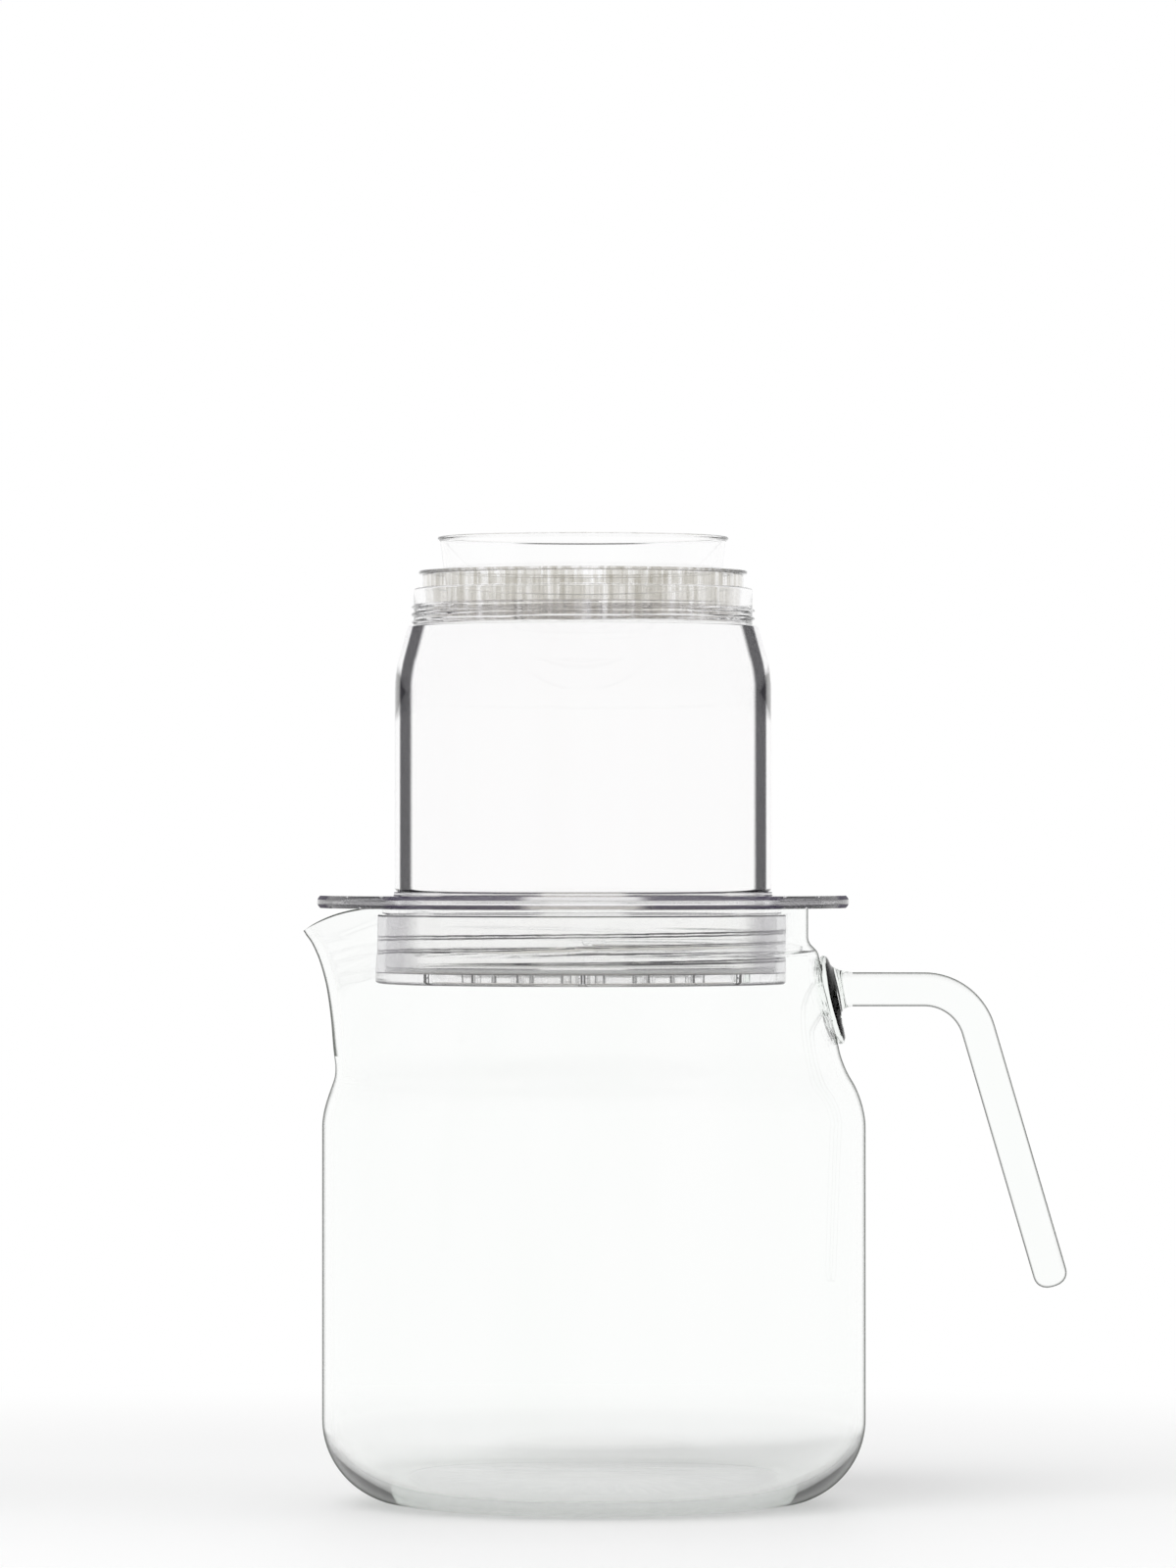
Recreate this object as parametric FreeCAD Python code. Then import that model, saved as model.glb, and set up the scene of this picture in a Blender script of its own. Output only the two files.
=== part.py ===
import FreeCAD, Part
import math
import os
from FreeCAD import Vector

os.makedirs("parts", exist_ok=True)

# Pour-over coffee dripper standing on its glass server. Millimetres, +Z up.
# The origin is the centre of the server's base. +X points at the handle and -X at the spout.

# Glass server
server_radius = 57.7
server_wall = 1.8
server_base = 2.6
base_corner = 18.0
shoulder_height = 85.3
shoulder_corner = 18.0
flare_radius = 52.9
flare_height = 92.7
collar_radius = 47.6
collar_height = 117.1
neck_radius = 45.5
neck_height = 119.2
neck_corner = 2.5
rim_height = 126.35

# Pulled spout: each row is height, flank radius, draw of the neck, reach of the tip, tip radius
spout_rows = [
    (89.0, 52.6, 0.0, 54.4, 30.0),
    (96.0, 51.2, 0.0, 55.3, 24.0),
    (103.0, 49.7, 0.0, 55.9, 19.0),
    (110.0, 48.2, 0.0, 56.9, 15.0),
    (116.0, 46.9, 1.2, 58.6, 12.0),
    (120.5, 45.6, 2.8, 61.1, 10.0),
    (128.0, 45.6, 3.2, 66.5, 9.0),
]
lip_start = -44.8
lip_fall_radius = 31.8

# Glass rod handle with a pressed foot on the wall
rod_radius = 3.6
rod_height = 109.1
bend_corner_x = 79.2
bend_radius = 12.0
rod_end = Vector(97.7, 0, 46.0)
rod_end_edge = 1.2
foot_radius = 9.6
foot_height = 106.7
foot_stand = 1.9
foot_edge = 1.2
foot_root = 4.0
foot_fillet = 1.4

# The dripper stands in the neck, pushed towards the spout
dripper_x = -2.3

# Flange ring that rests on the server's rim
flange_radius = 56.5
flange_bottom = 126.4
flange_thickness = 2.65
land_radius = 40.2
land_top = 129.8
root_radius = 42.2
root_bottom = 125.2
skirt_radius = 41.0
skirt_bottom = 113.6
flange_bore = 38.9

# Brew chamber
chamber_radius = 40.0
chamber_bore = 37.0
chamber_foot_corner = 0.8
spigot_radius = 38.6
taper_start = 176.5
taper_corner = 25.0
taper_top_radius = 37.3
taper_top = 186.2
inner_taper_start = 171.2
inner_taper_corner = 42.0
inner_taper_top = 183.6
thread_neck_radius = 36.0
neck_bore = 33.9
neck_top = 194.3
small_corner = 0.4
smallest_arc = 1.0

# Screw collar, drain floor, filter and seal under the chamber
screw_radius = 43.1
screw_bore = 41.3
screw_top = 125.0
floor_top = 112.5
floor_bottom = 110.1
floor_flat_radius = 40.0
rib_width = 2.0
rib_radii = [4.2, 14.6, 24.65]
rib_field_radius = 32.6
spoke_count = 6
spoke_width = 1.6
filter_radius = 40.6
filter_thickness = 0.3
seal_outer = 40.9
seal_inner = 37.2

# Dispersion head in the neck
head_ring_radius = 34.1
head_ring_bore = 32.1
head_lip_radius = 34.9
head_lip_thickness = 0.7
head_ring_top = 198.0
head_skirt_radius = 33.5
plate_top = 190.8
plate_bottom = 187.1
groove_depth = 0.6
drip_hole_radius = 0.9
drip_hole_sides = 6
drip_pitch = 7.9
drip_rings = 3
cup_foot_radius = 28.7
cup_rim_radius = 30.9
cup_rim_height = 205.2
cup_wall = 0.9
cup_bead = 0.35

upright = Vector(0, 0, 1)
origin = Vector(0, 0, 0)


def point(radius, height):
    return Vector(radius, 0, height)


def corner_arc(before, corner, after, radius):
    """The arc that rounds one corner, with the points where it meets the two sides."""
    towards_before = (before - corner).normalize()
    towards_after = (after - corner).normalize()
    half_angle = towards_before.getAngle(towards_after) / 2
    reach = radius / math.tan(half_angle)
    bisector = (towards_before + towards_after).normalize()
    first = corner + towards_before * reach
    last = corner + towards_after * reach
    middle = corner + bisector * (radius / math.sin(half_angle) - radius)
    return first, middle, last


def rounded_edges(corners):
    """Edges through (x, z, corner size) points. Small corners are cut flat, and the end points stay sharp."""
    places = [point(c[0], c[1]) for c in corners]
    edges = []
    start = places[0]
    for index in range(1, len(corners) - 1):
        radius = corners[index][2]
        if radius == 0:
            edges.append(Part.makeLine(start, places[index]))
            start = places[index]
            continue
        first, middle, last = corner_arc(places[index - 1], places[index], places[index + 1], radius)
        edges.append(Part.makeLine(start, first))
        if radius < smallest_arc:
            edges.append(Part.makeLine(first, last))
        else:
            edges.append(Part.Arc(first, middle, last).toShape())
        start = last
    edges.append(Part.makeLine(start, places[-1]))
    return edges


def turned_edges(edges, centre_x=0.0):
    """A closed outline turned once about an upright axis."""
    solid = Part.Face(Part.Wire(edges)).revolve(origin, upright, 360)
    solid.translate(Vector(centre_x, 0, 0))
    return solid


def turned(corners, centre_x=0.0):
    return turned_edges(rounded_edges(corners + [corners[0]]), centre_x)


def ring(outer, inner, bottom, top, centre_x=0.0):
    base = Vector(centre_x, 0, bottom)
    return Part.makeCylinder(outer, top - bottom, base).cut(Part.makeCylinder(inner, top - bottom, base))


def inset_corners(corners, walls):
    """The outline moved inwards: each side by its own wall, each corner radius to match."""
    sides = []
    for (a, b), wall in zip(zip(corners, corners[1:]), walls):
        start, end = point(a[0], a[1]), point(b[0], b[1])
        along = (end - start).normalize()
        inward = Vector(-along.z, 0, along.x)
        sides.append((start + inward * wall, along))
    moved = []
    for index, (x, z, radius) in enumerate(corners):
        if index == 0:
            moved.append((0.0, z + walls[0], 0))
        elif index == len(corners) - 1:
            moved.append((x - walls[-1], z, 0))
        else:
            (p, u), (q, v) = sides[index - 1], sides[index]
            turn = u.x * v.z - u.z * v.x
            step = ((q.x - p.x) * v.z - (q.z - p.z) * v.x) / turn
            change = -walls[-1] if turn > 0 else walls[-1]
            moved.append((p.x + u.x * step, p.z + u.z * step, radius + change))
    return moved


def vessel(corners):
    """The solid inside an outline that starts on the axis and ends at the rim."""
    return turned(corners + [(0.0, corners[-1][1], 0)])


def spout_section(height, flank, draw, reach, tip):
    """A drop-shaped outline: a large circle and the spout's tip circle, joined by tangents."""
    tip_x = tip - reach
    lean = math.acos((flank - tip) / (-draw - tip_x))
    outward = Vector(-math.cos(lean), math.sin(lean), 0)
    mirrored = Vector(outward.x, -outward.y, 0)
    large = Vector(-draw, 0, height)
    small = Vector(tip_x, 0, height)
    far = large + Vector(flank, 0, 0)
    near = small - Vector(tip, 0, 0)
    edges = [
        Part.Arc(large + mirrored * flank, far, large + outward * flank).toShape(),
        Part.makeLine(large + outward * flank, small + outward * tip),
        Part.Arc(small + outward * tip, near, small + mirrored * tip).toShape(),
        Part.makeLine(small + mirrored * tip, large + mirrored * flank),
    ]
    return Part.Wire(edges)


def spout(wall):
    rows = [(z, flank - wall, draw, reach - wall, tip - wall) for z, flank, draw, reach, tip in spout_rows]
    return Part.makeLoft([spout_section(*row) for row in rows], True, False)


def above_lip():
    """Everything above the rim, whose line falls in an arc towards the spout's tip."""
    centre = Vector(lip_start, 0, rim_height - lip_fall_radius)
    middle = centre + Vector(-math.sin(math.radians(20)), 0, math.cos(math.radians(20))) * lip_fall_radius
    last = centre + Vector(-math.sin(math.radians(40)), 0, math.cos(math.radians(40))) * lip_fall_radius
    start = Vector(lip_start, 0, rim_height)
    far, high = 2 * server_radius, 2 * rim_height
    outside = [
        last,
        Vector(-far, 0, last.z),
        Vector(-far, 0, high),
        Vector(far, 0, high),
        Vector(far, 0, rim_height),
        start,
    ]
    edges = [Part.Arc(start, middle, last).toShape()]
    edges += [Part.makeLine(a, b) for a, b in zip(outside, outside[1:])]
    region = Part.Face(Part.Wire(edges))
    region.translate(Vector(0, -2 * server_radius, 0))
    return region.extrude(Vector(0, 4 * server_radius, 0))


server_corners = [
    (0.0, 0.0, 0),
    (server_radius, 0.0, base_corner),
    (server_radius, shoulder_height, shoulder_corner),
    (flare_radius, flare_height, shoulder_corner),
    (collar_radius, collar_height, neck_corner),
    (neck_radius, neck_height, neck_corner),
    (neck_radius, rim_height, 0),
]


def make_server_hull():
    return vessel(server_corners).fuse(spout(0.0))


def make_server(hull):
    """Blown glass: the hull less its inset, with a rim that falls along the spout."""
    walls = [server_base] + [server_wall] * (len(server_corners) - 2)
    cavity = inset_corners(server_corners, walls)
    cavity[-1] = (cavity[-1][0], rim_height + 5, 0)
    hollow = vessel(cavity).fuse(spout(server_wall))
    return hull.cut(hollow).cut(above_lip())


def make_handle(hull):
    """One glass rod: pressed to a round foot on the wall, level, then bent down and out."""
    corner = Vector(bend_corner_x, 0, rod_height)
    start = Vector(neck_radius, 0, rod_height)
    first, middle, last = corner_arc(start, corner, rod_end, bend_radius)
    path = Part.Wire([
        Part.makeLine(start, first),
        Part.Arc(first, middle, last).toShape(),
        Part.makeLine(last, rod_end),
    ])
    section = Part.Wire(Part.makeCircle(rod_radius, start, Vector(1, 0, 0)))
    rod = path.makePipeShell([section], True, False)
    end_edge = min(rod.Edges, key=lambda e: (e.CenterOfMass - rod_end).Length)
    rod = rod.makeChamfer(rod_end_edge, [end_edge])
    slope = math.atan2(flare_radius - collar_radius, collar_height - flare_height)
    outward = Vector(math.cos(slope), 0, math.sin(slope))
    wall_x = flare_radius - (foot_height - flare_height) * math.tan(slope)
    foot_base = Vector(wall_x, 0, foot_height) - outward * foot_root
    foot = Part.makeCylinder(foot_radius, foot_root + foot_stand, foot_base, outward)
    face_centre = foot_base + outward * (foot_root + foot_stand)
    rim = min(foot.Edges, key=lambda e: (e.CenterOfMass - face_centre).Length)
    foot = foot.makeChamfer(foot_edge, [rim])
    handle = rod.fuse(foot).removeSplitter().cut(hull)
    neck_x = wall_x + foot_stand / math.cos(slope)
    join = [e for e in handle.Edges if abs(e.CenterOfMass.x - neck_x) < 1.0 and e.Length < 7.5 * rod_radius]
    return handle.makeFillet(foot_fillet, join)


def make_flange_ring():
    """A flat plate with an upright edge, a raised land above it and a deep skirt below."""
    top = flange_bottom + flange_thickness
    return turned([
        (flange_bore, skirt_bottom, 0),
        (skirt_radius, skirt_bottom, 0),
        (skirt_radius, root_bottom, 0),
        (root_radius, root_bottom, 0),
        (root_radius, flange_bottom, 0),
        (flange_radius, flange_bottom, small_corner),
        (flange_radius, top, small_corner),
        (land_radius, top, 0),
        (land_radius, land_top, small_corner),
        (flange_bore, land_top, 0),
    ], dripper_x)


def make_chamber():
    """Thick clear wall: spigot, cylinder, tapered shoulder and thread neck."""
    return turned([
        (chamber_bore, skirt_bottom, 0),
        (spigot_radius, skirt_bottom, 0),
        (spigot_radius, land_top, 0),
        (chamber_radius, land_top, chamber_foot_corner),
        (chamber_radius, taper_start, taper_corner),
        (taper_top_radius, taper_top, 0),
        (thread_neck_radius, taper_top, 0),
        (thread_neck_radius, neck_top, 0),
        (neck_bore, neck_top, 0),
        (neck_bore, inner_taper_top, 0),
        (chamber_bore, inner_taper_start, inner_taper_corner),
    ], dripper_x)


def make_screw_collar():
    return turned([
        (screw_bore, floor_top, 0),
        (screw_radius, floor_top, 0),
        (screw_radius, screw_top, small_corner),
        (screw_bore, screw_top, 0),
    ], dripper_x)


def make_drain_floor():
    """A round-edged disc opened into ring slots, left with circular ribs and spokes."""
    edge = Part.Ellipse(
        point(screw_radius, floor_top),
        point(floor_flat_radius, floor_bottom),
        point(floor_flat_radius, floor_top),
    )
    outline = Part.Wire([
        Part.makeLine(point(0, floor_bottom), point(floor_flat_radius, floor_bottom)),
        edge.toShape(0, math.pi / 2),
        Part.makeLine(point(screw_radius, floor_top), point(0, floor_top)),
        Part.makeLine(point(0, floor_top), point(0, floor_bottom)),
    ])
    disc = Part.Face(outline).revolve(origin, upright, 360)
    low, high = floor_bottom - 1, floor_top + 1
    inner_edges = [0.0] + [r + rib_width / 2 for r in rib_radii]
    outer_edges = [r - rib_width / 2 for r in rib_radii] + [rib_field_radius]
    spokes = [
        Part.makeBox(rib_field_radius + 1, spoke_width, high - low, Vector(0, -spoke_width / 2, low))
        .rotate(origin, upright, 360 * (index + 0.5) / spoke_count)
        for index in range(spoke_count)
    ]
    floor = disc.cut(Part.makeCylinder(outer_edges[0], high - low, Vector(0, 0, low)))
    for inner, outer in zip(inner_edges[1:], outer_edges[1:]):
        slot = ring(outer, inner, low, high).cut(spokes)
        floor = floor.cut(slot)
    floor.translate(Vector(dripper_x, 0, 0))
    return floor


def make_filter_disc():
    return Part.makeCylinder(filter_radius, filter_thickness, Vector(dripper_x, 0, floor_top))


def make_base_seal():
    return ring(seal_outer, seal_inner, floor_top + filter_thickness, skirt_bottom, dripper_x)


def make_head_ring():
    lip_bottom = head_ring_top - head_lip_thickness
    return turned([
        (head_ring_bore, plate_bottom, 0),
        (head_skirt_radius, plate_bottom, 0),
        (head_skirt_radius, neck_top, 0),
        (head_ring_radius, neck_top, 0),
        (head_ring_radius, lip_bottom, 0),
        (head_lip_radius, lip_bottom, 0),
        (head_lip_radius, head_ring_top, small_corner),
        (head_ring_bore, head_ring_top, small_corner),
    ], dripper_x)


def drip_places():
    """Hole centres on a triangular grid, one centre hole and full rings about it."""
    places = []
    for row in range(-drip_rings, drip_rings + 1):
        count = 2 * drip_rings + 1 - abs(row)
        y = row * drip_pitch * math.sqrt(3) / 2
        for index in range(count):
            places.append((drip_pitch * (index - (count - 1) / 2), y))
    return places


def drip_hole(x, y):
    """A drip hole as a plain prism, because the plate has so many."""
    corners = [
        Vector(
            x + drip_hole_radius * math.cos(2 * math.pi * index / drip_hole_sides),
            y + drip_hole_radius * math.sin(2 * math.pi * index / drip_hole_sides),
            plate_bottom - 1,
        )
        for index in range(drip_hole_sides)
    ]
    outline = Part.makePolygon(corners + [corners[0]])
    return Part.Face(outline).extrude(Vector(0, 0, plate_top - plate_bottom + 2))


def make_drip_plate():
    plate = Part.makeCylinder(head_ring_bore, plate_top - plate_bottom, Vector(0, 0, plate_bottom))
    groove = ring(cup_foot_radius, cup_foot_radius - cup_wall, plate_top - groove_depth, plate_top)
    holes = [drip_hole(x, y) for x, y in drip_places()]
    plate = plate.cut(groove).cut(holes)
    plate.translate(Vector(dripper_x, 0, 0))
    return plate


def make_chimney_cup():
    """A thin flared sleeve that stands in the plate's groove, with a small bead at its rim."""
    foot = plate_top - groove_depth
    return turned([
        (cup_foot_radius - cup_wall, foot, 0),
        (cup_foot_radius, foot, 0),
        (cup_foot_radius, plate_top, 0),
        (cup_rim_radius - cup_bead, cup_rim_height - 2 * cup_wall, 0),
        (cup_rim_radius, cup_rim_height - cup_wall, 0),
        (cup_rim_radius, cup_rim_height, 0),
        (cup_rim_radius - cup_wall - cup_bead, cup_rim_height, 0),
        (cup_foot_radius - cup_wall, plate_top, 0),
    ], dripper_x)


hull = make_server_hull()
parts = {
    "server_glass": make_server(hull),
    "server_handle": make_handle(hull),
    "flange_ring": make_flange_ring(),
    "brew_chamber": make_chamber(),
    "screw_collar": make_screw_collar(),
    "drain_floor": make_drain_floor(),
    "filter_disc": make_filter_disc(),
    "base_seal": make_base_seal(),
    "head_ring": make_head_ring(),
    "drip_plate": make_drip_plate(),
    "chimney_cup": make_chimney_cup(),
}

for name, shape in parts.items():
    print(name, "valid", shape.isValid(), "solids", len(shape.Solids), "volume", round(shape.Volume))
    shape.exportStep("parts/" + name + ".step")
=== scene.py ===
import math

import bmesh
import bpy
from mathutils import Matrix, Vector


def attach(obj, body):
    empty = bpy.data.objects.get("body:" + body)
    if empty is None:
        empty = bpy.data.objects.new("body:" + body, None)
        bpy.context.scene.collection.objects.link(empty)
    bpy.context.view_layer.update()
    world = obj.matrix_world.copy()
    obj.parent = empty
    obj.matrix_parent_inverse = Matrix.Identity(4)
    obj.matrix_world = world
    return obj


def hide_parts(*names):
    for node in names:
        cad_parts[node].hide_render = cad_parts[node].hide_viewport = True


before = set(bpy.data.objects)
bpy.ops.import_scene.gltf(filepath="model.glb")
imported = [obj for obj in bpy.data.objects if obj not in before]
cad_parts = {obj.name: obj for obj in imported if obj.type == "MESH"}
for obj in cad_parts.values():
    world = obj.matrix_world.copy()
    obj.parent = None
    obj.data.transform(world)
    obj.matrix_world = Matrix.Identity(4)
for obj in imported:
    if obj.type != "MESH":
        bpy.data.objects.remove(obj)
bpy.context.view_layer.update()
scene = bpy.context.scene
mm = 0.001
dripperX = -2.3
plainWhite = (1, 1, 1, 1)


# Shader maths: a wrapped socket that adds its own nodes

class Wire:
    def __init__(self, board, socket):
        self.board, self.socket = board, socket

    def __sub__(self, other):
        return self.board.maths("SUBTRACT", self, other)

    def __rsub__(self, other):
        return self.board.maths("SUBTRACT", other, self)

    def __mul__(self, other):
        return self.board.maths("MULTIPLY", self, other)

    def __rmul__(self, other):
        return self.board.maths("MULTIPLY", other, self)


class Board:
    # a cleared node tree, with one way to add nodes to it
    def __init__(self, owner):
        owner.use_nodes = True
        self.tree = owner.node_tree
        self.tree.nodes.clear()

    def add(self, kind, settings=None, sockets=None):
        node = self.tree.nodes.new(kind)
        for name, value in (settings or {}).items():
            setattr(node, name, value)
        for name, value in (sockets or {}).items():
            if isinstance(value, Wire):
                self.tree.links.new(value.socket, node.inputs[name])
            else:
                node.inputs[name].default_value = value
        return node

    def out(self, node, name=0):
        return Wire(self, node.outputs[name])

    def maths(self, operation, first, second=0.0):
        return self.out(self.add("ShaderNodeMath", {"operation": operation}, {0: first, 1: second}))

    def lightPath(self, name):
        return self.out(self.add("ShaderNodeLightPath"), name)

    def attribute(self, name):
        return self.out(self.add("ShaderNodeAttribute", {"attribute_name": name}), "Fac")

    def place(self, scale=(1, 1, 1)):
        coordinates = self.out(self.add("ShaderNodeTexCoord"), "Object")
        return self.out(self.add("ShaderNodeMapping", None, {"Vector": coordinates, "Scale": scale}))

    def noise(self, scale, detail=2.0, stretch=(1, 1, 1)):
        sockets = {"Vector": self.place(stretch), "Scale": scale, "Detail": detail}
        return self.out(self.add("ShaderNodeTexNoise", None, sockets), "Fac")

    def blend(self, factor, first, second):
        # a Mix node's colours are its sockets 6 and 7, and its colour output is 2
        sockets = {0: factor, 6: first, 7: second}
        return self.out(self.add("ShaderNodeMix", {"data_type": "RGBA"}, sockets), 2)

    def mixShader(self, factor, first, second):
        return self.out(self.add("ShaderNodeMixShader", None, {0: factor, 1: first, 2: second}))

    def bump(self, height, distance):
        return self.out(self.add("ShaderNodeBump", None, {"Height": height, "Distance": distance}))


def smoothSpan(value, low, high):
    # 0 below low, 1 above high, with soft ends
    b = value.board
    sockets = {"Value": value, "From Min": low, "From Max": high}
    return b.out(b.add("ShaderNodeMapRange", {"interpolation_type": "SMOOTHSTEP"}, sockets))


# Camera at the photograph's place

cameraSettings = {"place": (-0.00125, -1.854, 0.1385), "pitch": 0.44, "lens": 200.25, "sensor": 36.0}


def makeCamera(s):
    data = bpy.data.cameras.new("viewCamera")
    data.lens, data.sensor_width = s["lens"], s["sensor"]
    camera = bpy.data.objects.new("viewCamera", data)
    camera.location = s["place"]
    camera.rotation_euler = (math.radians(90 + s["pitch"]), 0, 0)
    scene.collection.objects.link(camera)
    scene.camera = camera


# Studio: white all round for what is seen through the object, dark far above it, and soft lamps

studio = {
    "plainLight": (0.62, 0.62, 0.62, 1),
    "whiteTop": (0.85, 0.95),
    "topShade": (0.04, 0.04, 0.04, 1),
    "lampTarget": (0, 0, 0.1),
    "topLamp": {"place": (-0.5, -0.6, 1.3), "size": 0.9, "power": 9.0},
    "sideLamp": {"place": (1.2, -0.3, 0.8), "size": 0.7, "power": 4.0},
}


def makeWorld(s):
    world = bpy.data.worlds.new("studioWorld")
    scene.world = world
    b = Board(world)
    direction = b.out(b.add("ShaderNodeTexCoord"), "Generated")
    height = b.out(b.add("ShaderNodeSeparateXYZ", None, {0: direction}), "Z")
    shade = b.blend(smoothSpan(height, *s["whiteTop"]), plainWhite, s["topShade"])
    through = b.lightPath("Is Transmission Ray")
    plain = b.blend(through, s["plainLight"], shade)
    mirrored = b.lightPath("Is Glossy Ray") * (1 - through)
    white = b.maths("MAXIMUM", mirrored, b.lightPath("Is Camera Ray"))
    colour = b.blend(white, plain, plainWhite)
    surface = b.add("ShaderNodeBackground", None, {"Color": colour, "Strength": 1.0})
    b.add("ShaderNodeOutputWorld", None, {"Surface": b.out(surface)})


def makeLamp(name, s, target):
    data = bpy.data.lights.new(name, "AREA")
    data.shape, data.size, data.energy = "DISK", s["size"], s["power"]
    lamp = bpy.data.objects.new(name, data)
    lamp.location = s["place"]
    lamp.rotation_euler = (Vector(target) - Vector(s["place"])).to_track_quat("-Z", "Y").to_euler()
    lamp.visible_camera = False
    lamp.visible_glossy = False
    lamp.visible_transmission = False
    scene.collection.objects.link(lamp)


# Floor: pale paper near the object, which runs into plain white further out

paleFloor = {
    "radius": 1.5,
    "sides": 96,
    "colour": (0.93, 0.93, 0.93, 1),
    "roughness": 0.6,
    "grainScale": 900.0,
    "grainHeight": 0.00002,
    "whiteFrom": 0.16,
    "whiteTo": 0.42,
}


def makeFloor(s):
    mesh = bpy.data.meshes.new("paleFloor")
    bm = bmesh.new()
    bmesh.ops.create_circle(bm, cap_ends=True, radius=s["radius"], segments=s["sides"])
    bm.to_mesh(mesh)
    bm.free()
    floor = bpy.data.objects.new("paleFloor", mesh)
    scene.collection.objects.link(floor)
    material = bpy.data.materials.new("palePaper")
    b = Board(material)
    distance = b.out(b.add("ShaderNodeVectorMath", {"operation": "LENGTH"}, {0: b.place()}), "Value")
    away = smoothSpan(distance, s["whiteFrom"], s["whiteTo"])
    grain = b.bump(b.noise(s["grainScale"]), s["grainHeight"])
    sockets = {"Base Color": s["colour"], "Roughness": s["roughness"], "Normal": grain}
    paper = b.out(b.add("ShaderNodeBsdfPrincipled", None, sockets))
    white = b.out(b.add("ShaderNodeEmission", None, {"Color": plainWhite, "Strength": 1.0}))
    seen = b.lightPath("Is Camera Ray")
    for name in ("Is Glossy Ray", "Is Transmission Ray"):
        seen = b.maths("MAXIMUM", seen, b.lightPath(name))
    b.add("ShaderNodeOutputMaterial", None, {"Surface": b.mixShader(away * seen, paper, white)})
    mesh.materials.append(material)


# Clear finishes, with painted dark shade on turned-away edges and sloping faces

def paintedEdgeShade(b, e, geometry, lean):
    # painted shade: how much dark colour is mixed into the wall where it turns away from the viewer, in
    # place of the dark edges that refraction gives
    facing = b.out(b.add("ShaderNodeLayerWeight", None, {"Blend": 0.5}), "Facing")
    if "faces" in e:
        facing = facing * b.attribute(e["faces"])
    share = smoothSpan(facing, *e["from"]) * e["depth"]
    if "to" in e:
        share = share * (1 - smoothSpan(facing, *e["to"]))
    if e.get("outside"):
        share = share * (1 - b.out(geometry, "Backfacing"))
    if e.get("inside"):
        share = share * b.out(geometry, "Backfacing")
    if "upright" in e:
        share = share * (1 - smoothSpan(lean, *e["upright"]))
    return share


def paintedCrownShade(b, c, lean):
    # painted shade on the sloping faces, in dark stretches with lighter gaps round the axis, in place of the
    # light led along the wall
    places = b.add("ShaderNodeSeparateXYZ", None, {0: b.place()})
    x = b.out(places, "X") - dripperX * mm
    turn = b.maths("ARCTAN2", x, b.out(places, "Y")) * c["stretches"]
    bright = smoothSpan(b.maths("COSINE", turn), *c["gap"])
    band = smoothSpan(lean, *c["from"]) * (1 - smoothSpan(lean, *c["to"]))
    return band * (1 - bright * c["gapShare"]) * c["depth"]


def clearMaterial(name, s):
    # polished see-through material, whose shadow stays light
    material = bpy.data.materials.new(name)
    b = Board(material)
    wave = b.noise(s["waveScale"], s["waveDetail"], s["waveStretch"])
    fibres = b.noise(s["streakScale"], s["streakDetail"], s["streakStretch"])
    streak = smoothSpan(fibres, *s["streakEdge"])
    polished = b.out(b.add("ShaderNodeBsdfPrincipled", None, {
        "Base Color": b.blend(streak, s["colourA"], s["colourB"]),
        "Roughness": s["roughness"],
        "IOR": s["ior"],
        "Transmission Weight": 1.0,
        "Normal": b.bump(wave, s["waveHeight"]),
    }))
    shadow = b.lightPath("Is Shadow Ray")
    clear = b.out(b.add("ShaderNodeBsdfTransparent", None, {"Color": s["shadowTint"]}))
    surface = b.mixShader(shadow, polished, clear)
    geometry = b.add("ShaderNodeNewGeometry")
    upward = b.out(b.add("ShaderNodeSeparateXYZ", None, {0: b.out(geometry, "Normal")}), "Z")
    lean = b.maths("ABSOLUTE", upward)
    # painted shade: dark diffuse colour mixed in at the turned-away edges and on the sloping faces, but not
    # for shadow rays
    if "edge" in s:
        dark = b.out(b.add("ShaderNodeBsdfDiffuse", None, {"Color": s["edge"]["colour"]}))
        surface = b.mixShader(paintedEdgeShade(b, s["edge"], geometry, lean) * (1 - shadow), surface, dark)
    if "crown" in s:
        dark = b.out(b.add("ShaderNodeBsdfDiffuse", None, {"Color": s["crown"]["colour"]}))
        surface = b.mixShader(paintedCrownShade(b, s["crown"], lean) * (1 - shadow), surface, dark)
    if "fused" in s:
        surface = b.mixShader(b.attribute(s["fused"]), surface, b.out(b.add("ShaderNodeBsdfTransparent")))
    volume = b.out(b.add("ShaderNodeVolumeAbsorption", None, {"Color": s["tint"], "Density": s["density"]}))
    b.add("ShaderNodeOutputMaterial", None, {"Surface": surface, "Volume": volume})
    return material


glass = {
    "ior": 1.47, "roughness": 0.0, "waveDetail": 1.0, "streakDetail": 3.0,
    "colourA": (0.985, 0.99, 0.985, 1), "colourB": plainWhite,
    "streakScale": 40.0, "streakStretch": (1, 1, 0.2), "streakEdge": (0.2, 0.8),
    "waveScale": 25.0, "waveStretch": (1, 1, 0.5), "waveHeight": 0.00002,
    "tint": (0.55, 0.75, 0.6, 1), "density": 8.0, "shadowTint": (0.93, 0.93, 0.93, 1),
    "fused": "fused",
}
# painted dark edge shade on the outer glass wall
glassPaintedEdge = {"outside": True, "faces": "outerWall", "colour": (0.05, 0.06, 0.045, 1)}
blownGlass = clearMaterial("blownGlass", {
    **glass, "edge": {**glassPaintedEdge, "from": (0.82, 0.96), "depth": 0.85},
})
rodGlass = clearMaterial("rodGlass", {
    **glass, "ior": 1.2, "streakScale": 60.0, "waveScale": 40.0,
    "edge": {**glassPaintedEdge, "from": (0.45, 0.75), "depth": 0.8},
})

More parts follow.
